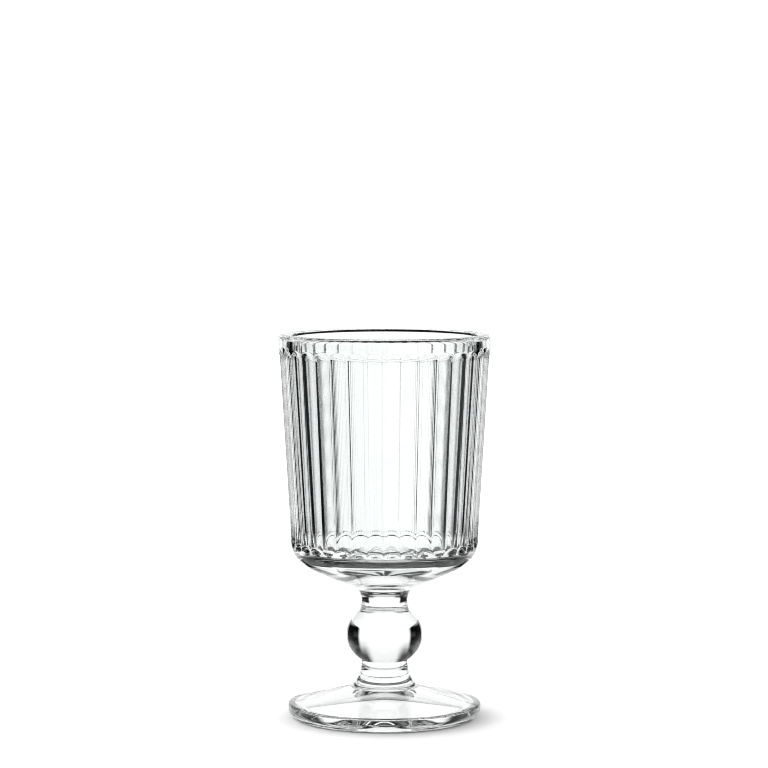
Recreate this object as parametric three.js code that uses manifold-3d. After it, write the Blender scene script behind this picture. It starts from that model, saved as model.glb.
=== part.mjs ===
// A small cordial glass in clear pressed glass: a fluted bowl on a ball stem with a round conical foot.
// Millimetres, +Z up. The origin is the middle of the circle that the foot stands on, and -Y is the front.
// Bowl, stem and foot are pressed one by one and fused hot, each against the next at a flat face.

import * as THREE from 'three';
import { mergeVertices } from 'three/addons/utils/BufferGeometryUtils.js';
import Module from 'manifold-3d';

// Heights of the three pieces, which add up to the height of the glass
const FOOT_HEIGHT = 7.85;
const STEM_HEIGHT = 25.65;
const BOWL_HEIGHT = 66.5;

// Bowl, outside
const MOUTH_RADIUS = 27.75;
const BASE_RADIUS = 24.2;
const BASE_RISE = 7.75;
const BASE_FILLET = 8.3;
const RIM_OUTER_ROUND = 1.1;

// Bowl, inside
const MOUTH_WALL = 3.4;
const BASE_WALL = 3.5;
const FLOOR_THICKNESS = 9.8;
const FLOOR_DISH = 0.6;
const INNER_FILLET = 2.4;
const RIM_INNER_ROUND = 1;

// Flutes round the outside of the bowl, sized at the mouth and narrowing with the wall
const FLUTE_COUNT = 36;
const FLUTE_DEPTH = 0.95;
const FLUTE_RADIUS = 4.1;
const FLUTE_DROP = 3.7;
const FLUTE_RISE = 15;
const FLUTE_RUNOUT = 6;
const FIRST_RIDGE = -0.4;

// Stem: two necks either side of a flattened ball
const BOWL_SEAT_RADIUS = 7.05;
const FOOT_SEAT_RADIUS = 8.75;
const NECK_RADIUS = 6;
const FLARE_FOLLOW = 0.35;
const FLARE_HEIGHT = 6.15;
const FLARE_BEND = 2.15;
const BALL_RADIUS = 9.92;
const BALL_HALF_HEIGHT = 8.25;
const BALL_RISE = 13.65;
const SHOULDER_RADIUS = 6.5;
const WAIST_DROP = 2.9;
const WAIST_BEND = 1.3;
const COLLAR_BEND = 1.7;

// Foot
const FOOT_RADIUS = 25.1;
const FOOT_EDGE_HEIGHT = 3.75;
const FOOT_UPPER_ROUND = 1.2;
const FOOT_LOWER_ROUND = 1.4;
const HOLLOW_RADIUS = 22.5;
const HOLLOW_DEPTH = 4.7;
const HOLLOW_CROWN = 4.5;

// Fineness of the facets
const BOWL_FACETS = 2 * FLUTE_COUNT;
const FLUTE_FACETS = 32;
const STEM_FACETS = 40;
const FOOT_FACETS = 60;
const ROUND_STEPS = 4;
const DOME_STEPS = 3;
const FILLET_STEPS = 7;
const CURVE_STEPS = 6;

// Levels
const STEM_LEVEL = FOOT_HEIGHT;
const BOWL_LEVEL = FOOT_HEIGHT + STEM_HEIGHT;
const RIM_LEVEL = BOWL_LEVEL + BOWL_HEIGHT;

const wasm = await Module();
wasm.setup();

// An outline from corners [radius, height, round, steps], where a corner with a round gets a tangent arc.
function roundedOutline(corners) {
  const outline = [];
  corners.forEach(([x, y, round = 0, steps = 0], i) => {
    const corner = new THREE.Vector2(x, y);
    if (round === 0) {
      outline.push(corner);
      return;
    }
    const before = new THREE.Vector2(...corners[i - 1]).sub(corner).normalize();
    const after = new THREE.Vector2(...corners[i + 1]).sub(corner).normalize();
    const half = Math.acos(before.dot(after)) / 2;
    const inward = before.clone().add(after).normalize();
    const centre = corner.clone().addScaledVector(inward, round / Math.sin(half));
    const reach = round / Math.tan(half);
    const start = corner.clone().addScaledVector(before, reach).sub(centre);
    const end = corner.clone().addScaledVector(after, reach).sub(centre);
    const sweep = Math.atan2(start.cross(end), start.dot(end));
    for (let k = 0; k <= steps; k += 1) {
      const point = start.clone().rotateAround(new THREE.Vector2(), (sweep * k) / steps);
      outline.push(point.add(centre));
    }
  });
  return outline;
}

// A body turned about +Z from an outline of [radius, height], with its first facet edge at a given angle
function turned(outline, facets, firstEdge = 0) {
  const geometry = new THREE.LatheGeometry(outline, facets, firstEdge);
  return geometry.rotateX(Math.PI / 2);
}

function solidOf(geometry) {
  const bare = geometry.clone().deleteAttribute('normal').deleteAttribute('uv');
  const merged = mergeVertices(bare);
  const index = merged.index.array;
  const triangles = [];
  for (let i = 0; i < index.length; i += 3) {
    const [a, b, c] = index.subarray(i, i + 3);
    if (a !== b && b !== c && c !== a) {
      triangles.push(a, b, c);
    }
  }
  const mesh = new wasm.Mesh({
    numProp: 3,
    vertProperties: new Float32Array(merged.attributes.position.array),
    triVerts: new Uint32Array(triangles),
  });
  return new wasm.Manifold(mesh);
}

function geometryOf(solid) {
  const mesh = solid.getMesh();
  const geometry = new THREE.BufferGeometry();
  geometry.setAttribute('position', new THREE.BufferAttribute(mesh.vertProperties, 3));
  geometry.setIndex(new THREE.BufferAttribute(mesh.triVerts, 1));
  geometry.computeVertexNormals();
  return geometry;
}

// Radius of the plain wall, before the flutes, at a height above the foot's underside
function wallRadius(level) {
  const cornerLevel = BOWL_LEVEL + BASE_RISE;
  const share = (level - cornerLevel) / (RIM_LEVEL - cornerLevel);
  return BASE_RADIUS + (MOUTH_RADIUS - BASE_RADIUS) * share;
}

// The tool that presses one flute, at the front: a taper that leans with the wall, rounded at both ends.
// Its domed top leaves an arch below the plain rim, and its long lower end runs out above the bowl's base.
function fluteTool() {
  const archRadius = Math.sqrt(FLUTE_RADIUS ** 2 - (FLUTE_RADIUS - FLUTE_DEPTH) ** 2);
  const domeLevel = RIM_LEVEL - FLUTE_DROP - archRadius;
  const tailLevel = BOWL_LEVEL + FLUTE_RISE;
  const taper = (level) => wallRadius(level) / MOUTH_RADIUS;
  const offset = (level) => (MOUTH_RADIUS + FLUTE_RADIUS - FLUTE_DEPTH) * taper(level);
  const lean = Math.atan2(offset(domeLevel) - offset(tailLevel), domeLevel - tailLevel);
  const length = (domeLevel - tailLevel) / Math.cos(lean);
  const domeRadius = FLUTE_RADIUS * taper(domeLevel);
  const tailRadius = FLUTE_RADIUS * taper(tailLevel);
  const side = new THREE.Path();
  side.absellipse(0, 0, tailRadius, FLUTE_RUNOUT, -Math.PI / 2, 0);
  side.absellipse(0, length, domeRadius, domeRadius, 0, Math.PI / 2);
  const outline = side.getPoints(DOME_STEPS);
  const halfFacet = Math.PI / FLUTE_FACETS;
  return turned(outline, FLUTE_FACETS, halfFacet).rotateX(lean).translate(0, -offset(tailLevel), tailLevel);
}

function bowlGeometry() {
  const floorLevel = BOWL_LEVEL + FLOOR_THICKNESS;
  const outline = roundedOutline([
    [0, BOWL_LEVEL],
    [BOWL_SEAT_RADIUS, BOWL_LEVEL],
    [BASE_RADIUS, BOWL_LEVEL + BASE_RISE, BASE_FILLET, FILLET_STEPS],
    [MOUTH_RADIUS, RIM_LEVEL, RIM_OUTER_ROUND, ROUND_STEPS],
    [MOUTH_RADIUS - MOUTH_WALL, RIM_LEVEL, RIM_INNER_ROUND, ROUND_STEPS],
    [BASE_RADIUS - BASE_WALL, floorLevel + FLOOR_DISH, INNER_FILLET, FILLET_STEPS],
    [0, floorLevel],
  ]);
  const firstRidge = THREE.MathUtils.degToRad(FIRST_RIDGE);
  const pitch = (2 * Math.PI) / FLUTE_COUNT;
  const tool = fluteTool();
  let bowl = solidOf(turned(outline, BOWL_FACETS, firstRidge));
  for (let k = 0; k < FLUTE_COUNT; k += 1) {
    const flute = tool.clone().rotateZ(firstRidge + pitch * (k + 0.5));
    bowl = bowl.subtract(solidOf(flute));
  }
  return geometryOf(bowl);
}

function stemGeometry() {
  const lowerNeckLevel = STEM_LEVEL + FLARE_HEIGHT;
  const ballLevel = STEM_LEVEL + BALL_RISE;
  const waistLevel = BOWL_LEVEL - WAIST_DROP;
  const lowerAngle = -Math.acos(NECK_RADIUS / BALL_RADIUS);
  const upperAngle = Math.acos(SHOULDER_RADIUS / BALL_RADIUS);
  const side = new THREE.Path();
  side.moveTo(FOOT_SEAT_RADIUS, STEM_LEVEL);
  side.quadraticCurveTo(NECK_RADIUS + FLARE_FOLLOW, STEM_LEVEL + FLARE_BEND, NECK_RADIUS, lowerNeckLevel);
  side.absellipse(0, ballLevel, BALL_RADIUS, BALL_HALF_HEIGHT, lowerAngle, upperAngle);
  side.quadraticCurveTo(NECK_RADIUS, waistLevel - WAIST_BEND, NECK_RADIUS, waistLevel);
  side.quadraticCurveTo(NECK_RADIUS, waistLevel + COLLAR_BEND, BOWL_SEAT_RADIUS, BOWL_LEVEL);
  const outline = side.getPoints(CURVE_STEPS);
  outline.unshift(new THREE.Vector2(0, STEM_LEVEL));
  outline.push(new THREE.Vector2(0, BOWL_LEVEL));
  return turned(outline, STEM_FACETS);
}

function footGeometry() {
  const hollow = new THREE.QuadraticBezierCurve(
    new THREE.Vector2(0, HOLLOW_DEPTH),
    new THREE.Vector2(HOLLOW_CROWN, HOLLOW_DEPTH),
    new THREE.Vector2(HOLLOW_RADIUS, 0),
  );
  const edge = roundedOutline([
    [HOLLOW_RADIUS, 0],
    [FOOT_RADIUS, 0, FOOT_LOWER_ROUND, FILLET_STEPS],
    [FOOT_RADIUS, FOOT_EDGE_HEIGHT, FOOT_UPPER_ROUND, ROUND_STEPS],
    [FOOT_SEAT_RADIUS, FOOT_HEIGHT],
    [0, FOOT_HEIGHT],
  ]);
  const outline = [...hollow.getPoints(CURVE_STEPS).slice(0, -1), ...edge];
  return turned(outline, FOOT_FACETS);
}

function clearGlass() {
  return new THREE.MeshStandardMaterial({
    color: 0xf3f7f6,
    roughness: 0.04,
    metalness: 0,
    transparent: true,
    opacity: 0.35,
  });
}

function piece(name, geometry) {
  const mesh = new THREE.Mesh(geometry, clearGlass());
  mesh.name = name;
  return mesh;
}

const glass = new THREE.Group();
glass.add(piece('foot', footGeometry()));
glass.add(piece('stem', stemGeometry()));
glass.add(piece('bowl', bowlGeometry()));

export default glass;
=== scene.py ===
import math

import bpy
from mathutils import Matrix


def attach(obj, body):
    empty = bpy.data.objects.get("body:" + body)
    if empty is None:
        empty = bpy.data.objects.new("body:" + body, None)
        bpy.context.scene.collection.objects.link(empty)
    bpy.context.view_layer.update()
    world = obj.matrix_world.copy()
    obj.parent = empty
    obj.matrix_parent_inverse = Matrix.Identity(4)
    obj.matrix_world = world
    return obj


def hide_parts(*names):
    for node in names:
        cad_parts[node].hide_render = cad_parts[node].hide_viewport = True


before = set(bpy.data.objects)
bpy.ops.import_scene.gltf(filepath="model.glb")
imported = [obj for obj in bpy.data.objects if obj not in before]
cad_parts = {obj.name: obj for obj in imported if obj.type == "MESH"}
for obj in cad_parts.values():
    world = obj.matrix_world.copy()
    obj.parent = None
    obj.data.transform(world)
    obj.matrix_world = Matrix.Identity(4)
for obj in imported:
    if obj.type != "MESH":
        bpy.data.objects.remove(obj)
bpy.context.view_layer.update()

# Foot: the low round cone that the glass stands on, of clear soda-lime glass pressed in a two-part mould.
# The plunger leaves its rounded edge and the conical hollow below, and the mould two fine seams on top.
# It is fused hot to the stem at the flat circle in the middle, where the two can't be told apart.

MM = 0.001
FOOT_HEIGHT = 7.85
FOOT_RADIUS = 25.1
FOOT_EDGE_HEIGHT = 3.75
FOOT_UPPER_ROUND = 0.7
FOOT_LOWER_ROUND = 2.3
FOOT_SEAT_RADIUS = 8.75
HOLLOW_RADIUS = 22.5
HOLLOW_DEPTH = 4.7
HOLLOW_CROWN = 4.5
HOLLOW_STEPS = 20
UPPER_ROUND_STEPS = 10
LOWER_ROUND_STEPS = 12
FOOT_TOP_STEPS = 12
HALF_COLUMNS = 110
SEAM_AZIMUTH = 76.0
SEAM_WIDTH = 1.0
SEAM_HEIGHT = 0.05
SEAM_COLUMNS = 4
SEAM_START = 0.5
SAME_PLACE = 0.001
SAME_LEVEL = 0.002
FIRE_POLISH = (0.965, 0.985, 0.98, 1.0)
CLEAR = (0.985, 0.995, 0.992, 1.0)
GLASS_IOR = 1.517
WAVE_SCALE = 70.0
WAVE_HEIGHT = 0.006
CLOUD_SCALE = 45.0
POLISH = 0.004


def bend(start, control, end, steps):
    """Points of a quadratic curve, the first one left out."""
    points = []
    for k in range(1, steps + 1):
        t = k / steps
        pulls = (((1 - t) ** 2, start), (2 * t * (1 - t), control), (t * t, end))
        points.append(tuple(sum(pull * place[i] for pull, place in pulls) for i in (0, 1)))
    return points


def straight(start, end, steps):
    """Points of a straight line, the first one left out."""
    points = []
    for k in range(1, steps + 1):
        points.append(tuple(start[i] + (end[i] - start[i]) * k / steps for i in (0, 1)))
    return points


def round_corner(before, corner, after, radius, steps):
    """Points of the arc that rounds a corner between two straight sides."""
    to_before = [before[i] - corner[i] for i in (0, 1)]
    to_after = [after[i] - corner[i] for i in (0, 1)]
    side_a = [v / math.hypot(*to_before) for v in to_before]
    side_b = [v / math.hypot(*to_after) for v in to_after]
    half = math.acos(side_a[0] * side_b[0] + side_a[1] * side_b[1]) / 2
    middle = [side_a[i] + side_b[i] for i in (0, 1)]
    centre = [corner[i] + middle[i] / math.hypot(*middle) * radius / math.sin(half) for i in (0, 1)]
    reach = radius / math.tan(half)
    first = [corner[i] + side_a[i] * reach - centre[i] for i in (0, 1)]
    last = [corner[i] + side_b[i] * reach - centre[i] for i in (0, 1)]
    cross = first[0] * last[1] - first[1] * last[0]
    sweep = math.atan2(cross, first[0] * last[0] + first[1] * last[1])
    points = []
    for k in range(steps + 1):
        c, s = math.cos(sweep * k / steps), math.sin(sweep * k / steps)
        points.append((centre[0] + first[0] * c - first[1] * s, centre[1] + first[0] * s + first[1] * c))
    return points


def trace_outline(name, outline, azimuth):
    """A new piece that is only its outline so far, drawn point by point in millimetres at one azimuth."""
    across = (math.sin(math.radians(azimuth)) * MM, -math.cos(math.radians(azimuth)) * MM)
    bpy.ops.object.select_all(action="DESELECT")
    bpy.ops.mesh.primitive_plane_add(size=MM, location=(0, 0, 0))
    piece = bpy.context.object
    piece.name = piece.data.name = name
    bpy.ops.object.mode_set(mode="EDIT")
    bpy.context.tool_settings.mesh_select_mode = (True, False, False)
    bpy.ops.mesh.merge(type="CENTER")
    radius, height = outline[0]
    bpy.ops.transform.translate(value=(radius * across[0], radius * across[1], height * MM))
    for (r0, z0), (r1, z1) in zip(outline, outline[1:]):
        step = ((r1 - r0) * across[0], (r1 - r0) * across[1], (z1 - z0) * MM)
        bpy.ops.mesh.extrude_region_move(TRANSFORM_OT_translate={"value": step})
    bpy.ops.mesh.select_all(action="SELECT")
    return piece


def turn(degrees, steps, copies=False):
    """Spins what is selected on round the glass, or sets copies of it there."""
    angle = math.radians(degrees)
    bpy.ops.mesh.spin(steps=steps, angle=angle, center=(0, 0, 0), axis=(0, 0, 1), dupli=copies)


def close_up():
    """Joins the last column to the first and each pole into one point, and turns the faces outwards."""
    bpy.ops.mesh.select_all(action="SELECT")
    bpy.ops.mesh.remove_doubles(threshold=SAME_PLACE * MM)
    bpy.ops.mesh.normals_make_consistent(inside=False)


def select_points(piece, wanted):
    """Selects the vertices that a test of radius, azimuth and height in millimetres and degrees picks."""
    bpy.ops.mesh.select_all(action="DESELECT")
    bpy.ops.object.mode_set(mode="OBJECT")
    for vertex in piece.data.vertices:
        x, y, z = (v / MM for v in vertex.co)
        vertex.select = wanted(math.hypot(x, y), math.degrees(math.atan2(x, -y)), z)
    bpy.ops.object.mode_set(mode="EDIT")


def fuse_face(piece, level, joint_material):
    """Gives the flat circle at a joint the fused finish, with a sharp edge where its shading ends."""
    mesh = piece.data
    bpy.ops.object.mode_set(mode="OBJECT")
    mesh.materials.append(joint_material)
    flat = set()
    shared = {}
    for face in mesh.polygons:
        heights = [mesh.vertices[v].co.z / MM for v in face.vertices]
        if all(abs(height - level) < SAME_LEVEL for height in heights):
            flat.add(face.index)
            face.material_index = len(mesh.materials) - 1
        for key in face.edge_keys:
            shared.setdefault(key, []).append(face.index)
    for edge in mesh.edges:
        if len(flat.intersection(shared[edge.key])) == 1:
            edge.use_edge_sharp = True
    bpy.ops.object.mode_set(mode="EDIT")


class Shade:
    """A shader value that takes part in Python expressions, each of which adds its Math node."""

    def __init__(self, socket):
        self.socket = socket

    def _math(self, operation, first, second):
        return self.node("ShaderNodeMath", {"operation": operation}, {0: first, 1: second})

    def __add__(self, other):
        return self._math("ADD", self, other)

    def __mul__(self, other):
        return self._math("MULTIPLY", self, other)

    def __sub__(self, other):
        return self._math("SUBTRACT", self, other)

    def __rsub__(self, other):
        return self._math("SUBTRACT", other, self)

    __radd__ = __add__
    __rmul__ = __mul__

    def node(self, kind, settings, inputs, output=0):
        """Adds a node of any kind: its settings first, then the values or links of its sockets."""
        tree = self.socket.id_data
        added = tree.nodes.new(kind)
        for key, value in settings.items():
            setattr(added, key, value)
        for key, value in inputs.items():
            if isinstance(value, Shade):
                tree.links.new(value.socket, added.inputs[key])
            else:
                added.inputs[key].default_value = value
        return Shade(added.outputs[output])

    def feed(self, socket):
        """Links this value to a socket of a node that is already there."""
        self.socket.id_data.links.new(self.socket, socket)


def clear_glass(name):
    """Fire-polished pressed glass: clear, with a faint tint and the slow waves that the mould leaves."""
    material = bpy.data.materials.new(name)
    material.use_nodes = True
    tree = material.node_tree
    shader = tree.nodes["Principled BSDF"]
    shader.inputs["Transmission Weight"].default_value = 1.0
    shader.inputs["IOR"].default_value = GLASS_IOR
    place = Shade(tree.nodes.new("ShaderNodeTexCoord").outputs["Object"])
    waves = place.node("ShaderNodeTexNoise", {}, {"Vector": place, "Scale": WAVE_SCALE, "Detail": 1.0})
    clouds = place.node("ShaderNodeTexNoise", {}, {"Vector": place, "Scale": CLOUD_SCALE, "Detail": 2.0})
    mixing = {"Factor": clouds, "A": FIRE_POLISH, "B": CLEAR}
    clouds.node("ShaderNodeMix", {"data_type": "RGBA"}, mixing, 2).feed(shader.inputs["Base Color"])
    (clouds * POLISH).feed(shader.inputs["Roughness"])
    relief = {"Strength": 1.0, "Distance": WAVE_HEIGHT * MM, "Height": waves}
    waves.node("ShaderNodeBump", {}, relief).feed(shader.inputs["Normal"])
    return material


fused_joint = bpy.data.materials.new("fused_joint")
fused_joint.use_nodes = True
fused_joint.node_tree.nodes["Principled BSDF"].inputs["Alpha"].default_value = 0.0

edge_top = (FOOT_RADIUS, FOOT_EDGE_HEIGHT)
edge_foot = (FOOT_RADIUS, 0.0)
seat_edge = (FOOT_SEAT_RADIUS, FOOT_HEIGHT)
upper_round = round_corner(edge_foot, edge_top, seat_edge, FOOT_UPPER_ROUND, UPPER_ROUND_STEPS)
hollow_top = (0.0, HOLLOW_DEPTH)
foot_outline = [hollow_top]
foot_outline += bend(hollow_top, (HOLLOW_CROWN, HOLLOW_DEPTH), (HOLLOW_RADIUS, 0.0), HOLLOW_STEPS)
foot_outline += round_corner((0.0, 0.0), edge_foot, edge_top, FOOT_LOWER_ROUND, LOWER_ROUND_STEPS)
foot_outline += upper_round
foot_outline += straight(upper_round[-1], seat_edge, FOOT_TOP_STEPS)
foot_outline += [(0.0, FOOT_HEIGHT)]


def on_seam(radius, azimuth, height):
    """Whether a point is on the crest of a mould seam, on top of the foot and clear of the stem."""
    off_crest = abs((azimuth - SEAM_AZIMUTH + 90.0) % 180.0 - 90.0)
    on_top = height > FOOT_EDGE_HEIGHT - FOOT_UPPER_ROUND and radius > FOOT_SEAT_RADIUS + SEAM_START
    return on_top and off_crest < SEAM_WIDTH / 10


foot = trace_outline("pressed_foot", foot_outline, SEAM_AZIMUTH + SEAM_WIDTH / 2)
for half in range(2):
    turn(SEAM_WIDTH, SEAM_COLUMNS)
    turn(180.0 - SEAM_WIDTH, HALF_COLUMNS)
close_up()
select_points(foot, on_seam)
bpy.ops.transform.translate(value=(0, 0, SEAM_HEIGHT * MM))
foot.data.materials.append(clear_glass("foot_glass"))
fuse_face(foot, FOOT_HEIGHT, fused_joint)
bpy.ops.object.mode_set(mode="OBJECT")
bpy.ops.object.shade_smooth()
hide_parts("foot")
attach(foot, "root")

# Stem: a solid piece of the same glass, pressed as a flattened ball between two waisted necks.
# Below it flares to the foot and above it to the underside of the bowl, and both ends are fused hot.

STEM_TOP = 33.5
BOWL_SEAT_RADIUS = 7.05
NECK_RADIUS = 6.0
LOWER_NECK_TOP = 14.0
FLARE_CONTROL = (6.35, 10.0)
BALL_MIDDLE = 21.5
BALL_RADIUS = 9.92
BALL_HALF_HEIGHT = 8.25
SHOULDER_RADIUS = 6.5
WAIST_LEVEL = 30.6
SHOULDER_CONTROL = (6.0, 29.3)
COLLAR_CONTROL = (6.0, 32.3)
FLARE_STEPS = 14
BALL_STEPS = 40
SHOULDER_STEPS = 8
COLLAR_STEPS = 10
STEM_COLUMNS = 180
STEM_CREASE = 25.0

lowest = -math.acos(NECK_RADIUS / BALL_RADIUS)
highest = math.acos(SHOULDER_RADIUS / BALL_RADIUS)
ball = []
for k in range(BALL_STEPS + 1):
    swing = lowest + (highest - lowest) * k / BALL_STEPS
    ball.append((BALL_RADIUS * math.cos(swing), BALL_MIDDLE + BALL_HALF_HEIGHT * math.sin(swing)))
stem_outline = [(0.0, FOOT_HEIGHT), seat_edge]
stem_outline += bend(seat_edge, FLARE_CONTROL, (NECK_RADIUS, LOWER_NECK_TOP), FLARE_STEPS)
stem_outline += ball
stem_outline += bend(ball[-1], SHOULDER_CONTROL, (NECK_RADIUS, WAIST_LEVEL), SHOULDER_STEPS)
stem_outline += bend(stem_outline[-1], COLLAR_CONTROL, (BOWL_SEAT_RADIUS, STEM_TOP), COLLAR_STEPS)
stem_outline += [(0.0, STEM_TOP)]

stem = trace_outline("ball_stem", stem_outline, 0.0)
turn(360.0, STEM_COLUMNS)
close_up()
stem.data.materials.append(clear_glass("stem_glass"))
fuse_face(stem, FOOT_HEIGHT, fused_joint)
fuse_face(stem, STEM_TOP, fused_joint)
bpy.ops.object.mode_set(mode="OBJECT")
bpy.ops.object.shade_smooth_by_angle(angle=math.radians(STEM_CREASE), keep_sharp_edges=True)
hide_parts("stem")
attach(stem, "root")

# Bowl: a thick tumbler of the same glass, pressed with upright flutes outside and left smooth inside.
# The flutes are round hollows that arch at the top below a plain rim band and run out below on the curve
# of the base, with rounded ridges between them. The rim is fire polished, and the base is fused to the stem.

RIM_LEVEL = 99.99
MOUTH_RADIUS = 27.72
BASE_RADIUS = 24.15
BASE_LEVEL = 41.25
BASE_FILLET = 8.3
RIM_OUTER_ROUND = 1.1
RIM_INNER_ROUND = 1.5
MOUTH_WALL = 3.4
BASE_WALL = 3.5
FLOOR_LEVEL = 43.3
FLOOR_DISH = 0.6
INNER_FILLET = 2.4
FLUTE_COUNT = 36
FLUTE_RADIUS = 4.1
FLUTE_DEPTH = 0.95
FLUTE_DROP = 3.7
FLUTE_END = 43.5
FLUTE_RUNOUT = 4.0
RIDGE_HALF = 0.28
FIRST_RIDGE = -0.4
RIDGE_COLUMNS = 6
HOLLOW_COLUMNS = 12
ARCH_FOOT = 92.4
BAND_FOOT = 97.0
EDGE_SOFTNESS = 0.05
SLOPE_STEP = 0.001
OUTSIDE_REACH = 3.0
UNDERSIDE_RISE = 2.0
UNDERSIDE_STEPS = 5
BASE_STEPS = 30
WALL_STEPS = 12
ARCH_STEPS = 22
BAND_STEPS = 3
RIM_STEPS = 8
LIP_STEPS = 3
INNER_WALL_STEPS = 10
INNER_STEPS = 16
FLOOR_STEPS = 6

seat = (BOWL_SEAT_RADIUS, STEM_TOP)
knee = (BASE_RADIUS, BASE_LEVEL)
lip = (MOUTH_RADIUS, RIM_LEVEL)
inner_lip = (MOUTH_RADIUS - MOUTH_WALL, RIM_LEVEL)
inner_knee = (BASE_RADIUS - BASE_WALL, FLOOR_LEVEL + FLOOR_DISH)
floor_middle = (0.0, FLOOR_LEVEL)


def wall_at(level):
    """Radius of the plain wall, before the flutes, at a height."""
    share = (level - BASE_LEVEL) / (RIM_LEVEL - BASE_LEVEL)
    return BASE_RADIUS + (MOUTH_RADIUS - BASE_RADIUS) * share


base_curve = round_corner(seat, knee, lip, BASE_FILLET, BASE_STEPS)
rim_outside = round_corner(knee, lip, inner_lip, RIM_OUTER_ROUND, RIM_STEPS)
rim_inside = round_corner(lip, inner_lip, inner_knee, RIM_INNER_ROUND, RIM_STEPS)
inner_curve = round_corner(inner_lip, inner_knee, floor_middle, INNER_FILLET, INNER_STEPS)
arch_foot = (wall_at(ARCH_FOOT), ARCH_FOOT)
band_foot = (wall_at(BAND_FOOT), BAND_FOOT)
bowl_outline = [(0.0, STEM_TOP), seat]
bowl_outline += straight(seat, base_curve[0], UNDERSIDE_STEPS)[:-1] + base_curve
bowl_outline += straight(base_curve[-1], arch_foot, WALL_STEPS)
bowl_outline += straight(arch_foot, band_foot, ARCH_STEPS)
bowl_outline += straight(band_foot, rim_outside[0], BAND_STEPS)[:-1] + rim_outside
bowl_outline += straight(rim_outside[-1], rim_inside[0], LIP_STEPS)[:-1] + rim_inside
bowl_outline += straight(rim_inside[-1], inner_curve[0], INNER_WALL_STEPS)[:-1] + inner_curve
bowl_outline += straight(inner_curve[-1], floor_middle, FLOOR_STEPS)

pitch = 360.0 / FLUTE_COUNT
half_pitch = math.pi / FLUTE_COUNT * MOUTH_RADIUS
ridge_turn = pitch * RIDGE_HALF / half_pitch
arch_half = math.sqrt(FLUTE_RADIUS ** 2 - (FLUTE_RADIUS - FLUTE_DEPTH) ** 2)
dome_level = RIM_LEVEL - FLUTE_DROP - arch_half


def press(across, rise):
    """Depth of the pressing tool below the plain wall, beside its middle and above the foot of its dome."""
    left = FLUTE_RADIUS ** 2 - rise ** 2 - across ** 2
    return math.sqrt(left) - (FLUTE_RADIUS - FLUTE_DEPTH) if left > 0 else -FLUTE_RADIUS


def flute_depth(radius, azimuth, level):
    """Depth of the flutes at a place on the outside of the plain bowl, with rounded ridges between them."""
    turned_by = ((azimuth - FIRST_RIDGE) / pitch) % 1.0
    across = abs(turned_by - 0.5) * 2 * half_pitch
    rise = max(level - dome_level, 0.0)
    ridge = half_pitch - RIDGE_HALF
    depth = press(min(across, ridge), rise)
    if across > ridge:
        change = press(ridge + SLOPE_STEP, rise) - press(ridge - SLOPE_STEP, rise)
        slope = change / (2 * SLOPE_STEP)
        past = (across - ridge) / RIDGE_HALF
        depth += slope * RIDGE_HALF * (past - past * past / 2)
    kept = min(max((level - FLUTE_END) / FLUTE_RUNOUT, 0.0), 1.0)
    depth *= kept * kept * (3 - 2 * kept) * wall_at(level) / MOUTH_RADIUS
    depth -= max(wall_at(level) - radius, 0.0)
    return (depth + math.hypot(depth, EDGE_SOFTNESS)) / 2


bowl = trace_outline("fluted_bowl", bowl_outline, FIRST_RIDGE + ridge_turn / 2)
turn(ridge_turn, RIDGE_COLUMNS)
turn(pitch - ridge_turn, HOLLOW_COLUMNS)
bpy.ops.mesh.select_all(action="SELECT")
turn(360.0 - pitch, FLUTE_COUNT - 1, copies=True)
close_up()
bpy.ops.object.mode_set(mode="OBJECT")
flutes = bowl.vertex_groups.new(name="flutes")
for vertex in bowl.data.vertices:
    x, y, z = (v / MM for v in vertex.co)
    radius = math.hypot(x, y)
    outside = radius > wall_at(z) - OUTSIDE_REACH or STEM_TOP + UNDERSIDE_RISE < z < FLOOR_LEVEL
    if outside and z < RIM_LEVEL - RIM_OUTER_ROUND:
        depth = flute_depth(radius, math.degrees(math.atan2(x, -y)), z)
        flutes.add([vertex.index], depth, "REPLACE")
pressing = bowl.modifiers.new("pressing", "DISPLACE")
pressing.vertex_group = flutes.name
pressing.mid_level = 0.0
pressing.strength = -MM
bpy.ops.object.modifier_apply(modifier=pressing.name)
bowl.data.materials.append(clear_glass("bowl_glass"))
fuse_face(bowl, STEM_TOP, fused_joint)
bpy.ops.object.mode_set(mode="OBJECT")
bpy.ops.object.shade_smooth()
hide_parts("bowl")
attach(bowl, "root")

# Studio: a narrow table of opal sheet, lit by a soft box from behind left, with a glowing disc painted into
# the table's emission under the foot in place of a lamp.
# White cards stand round it with dark felt between: a backdrop that narrows upwards, sides, front and fill.
# The camera has a long lens, a little above the rim and as far off as the photograph was taken from.

TABLE_SIZE = (0.086, 0.16, 1.0)
TABLE_MIDDLE = (0.0, 0.038, -0.0002)
TABLE_CORNER = 0.02
CORNER_STEPS = 16
TABLE_OPAL = (0.97, 0.97, 0.97, 1.0)
TABLE_ROUGHNESS = 0.9
TABLE_GLOW = (0.03, 0.03, 0.03, 1.0)
TABLE_SHADE = 0.12
GLOW_UNDER_FOOT = (1.0, 1.0, 1.0, 1.0)
GLOW_DISC_RADIUS = 0.0205
SOFT_BOX_LIGHT = 2.45
SOFT_BOX_FROM = -60.0
SOFT_BOX_SLANT = 0.35
SOFT_BOX_TOP = (45.0, 15.0)
FELT = (0.004, 0.005, 0.0065, 1.0)
CARD = (1.0, 1.0, 1.0, 1.0)
GROUND_FALL = 0.75
GROUND_WIDTH = (62.0, 10.0)
GROUND_TOP = (-17.0, 4.0)
TALL_BACKDROP = (0.95, 0.0, 19.5, -15.0, 62.0, (6.0, 8.0, 10.0))
BROAD_BACKDROP = (1.13, 0.0, 32.0, -20.0, 13.0, (3.0, 2.0, 15.0))
RIGHT_CARD = (0.9, 90.0, 17.0, -6.0, 8.0, (6.0, 3.0, 4.0))
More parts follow.
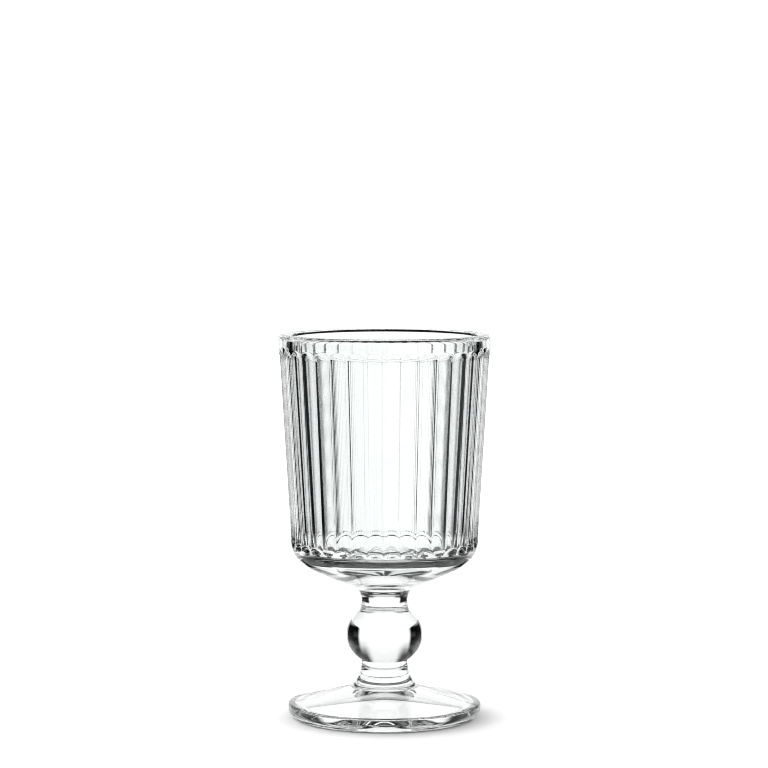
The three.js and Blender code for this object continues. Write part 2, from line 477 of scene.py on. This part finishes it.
LEFT_CARD = (0.9, -90.0, 17.0, -6.0, 8.0, (6.0, 3.0, 4.0))
FRONT_CARD = (1.0, 180.0, 80.0, -9.0, 6.0, (8.0, 4.0, 4.0))
FILL_CARD = (1.15, 135.0, 36.0, -32.0, -6.0, (8.0, 4.0, 4.0))
FELT_QUARTERS = (0.0, 90.0, 180.0, 270.0)
FELT_STRIP = (8.0, -49.0, -20.0, (2.0, 2.0, 2.0))
FELT_BEHIND = (0.0, 0.0, 26.0, -36.0, -22.0, (3.0, 2.0, 2.0))
CAMERA_PLACE = (-0.00013, -0.7422, 0.14033)
CAMERA_PITCH = 4.112
CAMERA_LENS = 134.44
SENSOR_WIDTH = 36.0
DISPLAY_GAMMA = 0.8
PIXEL_FILTER = 1.0
BOUNCES = 24


def soft_step(value, middle, softness):
    """0 well below a middle value and 1 well above it, with a smooth change between."""
    ends = {"Value": value, "From Min": middle - softness, "From Max": middle + softness}
    return value.node("ShaderNodeMapRange", {"interpolation_type": "SMOOTHSTEP"}, ends)


bpy.ops.object.select_all(action="DESELECT")
bpy.ops.mesh.primitive_plane_add(size=1.0, location=TABLE_MIDDLE)
table = bpy.context.object
table.name = table.data.name = "table_top"
bpy.ops.transform.resize(value=TABLE_SIZE)
bpy.ops.object.transform_apply(location=True, scale=True)
bpy.ops.object.mode_set(mode="EDIT")
bpy.ops.mesh.select_all(action="SELECT")
bpy.ops.mesh.bevel(offset=TABLE_CORNER, segments=CORNER_STEPS, affect="VERTICES")
bpy.ops.object.mode_set(mode="OBJECT")
opal = bpy.data.materials.new("table_opal")
opal.use_nodes = True
sheet = opal.node_tree.nodes["Principled BSDF"].inputs
sheet["Base Color"].default_value = TABLE_OPAL
sheet["Roughness"].default_value = TABLE_ROUGHNESS
sheet["Specular IOR Level"].default_value = 0.0
# Painted light: the table's emission glows brightly in a disc under the foot, standing in for a lamp there,
# and faintly everywhere else.
spot = Shade(opal.node_tree.nodes.new("ShaderNodeTexCoord").outputs["Object"])
reach = spot.node("ShaderNodeVectorMath", {"operation": "LENGTH"}, {0: spot}, "Value")
glow_disc = soft_step(reach, GLOW_DISC_RADIUS, GLOW_DISC_RADIUS / 8)
mixing = {"Factor": glow_disc, "A": GLOW_UNDER_FOOT, "B": TABLE_GLOW}
glow_disc.node("ShaderNodeMix", {"data_type": "RGBA"}, mixing, 2).feed(sheet["Emission Color"])
sheet["Emission Strength"].default_value = 1.0
table.data.materials.append(opal)

surround = bpy.data.worlds.new("studio_surround")
surround.use_nodes = True
surround.cycles.sampling_method = "NONE"
bpy.context.scene.world = surround
sky = surround.node_tree
sky.nodes.clear()
look = Shade(sky.nodes.new("ShaderNodeTexCoord").outputs["Generated"])
split = sky.nodes.new("ShaderNodeSeparateXYZ")
look.feed(split.inputs[0])
side, behind, up = (Shade(out) for out in split.outputs)


def calculate(operation, first, second=0.0):
    """A Math node for what the operators of a shader value don't do."""
    return first.node("ShaderNodeMath", {"operation": operation}, {0: first, 1: second})


azimuth = calculate("DEGREES", calculate("ARCTAN2", side, behind))
elevation = calculate("DEGREES", calculate("ARCSINE", up))


def card(below, level, middle, half_width, lowest, highest, softness):
    """Sets a card of one brightness before what is there, its place, ends and softness in degrees."""
    away = calculate("ABSOLUTE", calculate("FLOORED_MODULO", azimuth - middle + 180.0, 360.0) - 180.0)
    cover = 1 - soft_step(away, half_width, softness[0])
    cover = cover * soft_step(elevation, lowest, softness[1])
    cover = cover * (1 - soft_step(elevation, highest, softness[2]))
    return below + (level - below) * cover


aside = calculate("ABSOLUTE", azimuth)
ground = 1.0 - GROUND_FALL * soft_step(aside, *GROUND_WIDTH)
light = ground * (1 - soft_step(elevation, *GROUND_TOP))
for standing in (TALL_BACKDROP, BROAD_BACKDROP, RIGHT_CARD, LEFT_CARD, FRONT_CARD, FILL_CARD):
    light = card(light, *standing)
for quarter in FELT_QUARTERS:
    light = card(light, 0.0, quarter, *FELT_STRIP)
light = card(light, *FELT_BEHIND)

path = sky.nodes.new("ShaderNodeLightPath")
in_camera = Shade(path.outputs["Is Camera Ray"])
on_table = calculate("MINIMUM", Shade(path.outputs["Diffuse Depth"]), 1.0)
unshaded = Shade(path.outputs["Is Diffuse Ray"])
slant = calculate("COSINE", (azimuth - SOFT_BOX_FROM) * math.radians(1.0))
soft_box = SOFT_BOX_LIGHT + SOFT_BOX_LIGHT * SOFT_BOX_SLANT * slant
soft_box = soft_box * (1 - soft_step(elevation, *SOFT_BOX_TOP))
table_light = TABLE_SHADE + (soft_box - TABLE_SHADE) * unshaded
shown = calculate("MAXIMUM", light + (table_light - light) * on_table, in_camera)
strength = calculate("MAXIMUM", shown, 1.0)
mixing = {"Factor": shown, "A": FELT, "B": CARD}
tone = shown.node("ShaderNodeMix", {"data_type": "RGBA"}, mixing, 2)
backing = tone.node("ShaderNodeBackground", {}, {"Color": tone, "Strength": strength})
backing.feed(sky.nodes.new("ShaderNodeOutputWorld").inputs["Surface"])

camera = bpy.data.objects.new("camera", bpy.data.cameras.new("camera"))
bpy.context.collection.objects.link(camera)
camera.location = CAMERA_PLACE
camera.rotation_euler = (math.radians(90.0 - CAMERA_PITCH), 0.0, 0.0)
camera.data.sensor_width = SENSOR_WIDTH
camera.data.lens = CAMERA_LENS
scene = bpy.context.scene
scene.camera = camera
scene.view_settings.view_transform = "Standard"
scene.view_settings.gamma = DISPLAY_GAMMA
scene.cycles.use_denoising = True
scene.cycles.filter_width = PIXEL_FILTER
scene.cycles.max_bounces = BOUNCES
scene.cycles.glossy_bounces = BOUNCES
scene.cycles.transmission_bounces = BOUNCES
scene.cycles.transparent_max_bounces = BOUNCES
scene.cycles.caustics_refractive = True
scene.cycles.caustics_reflective = True
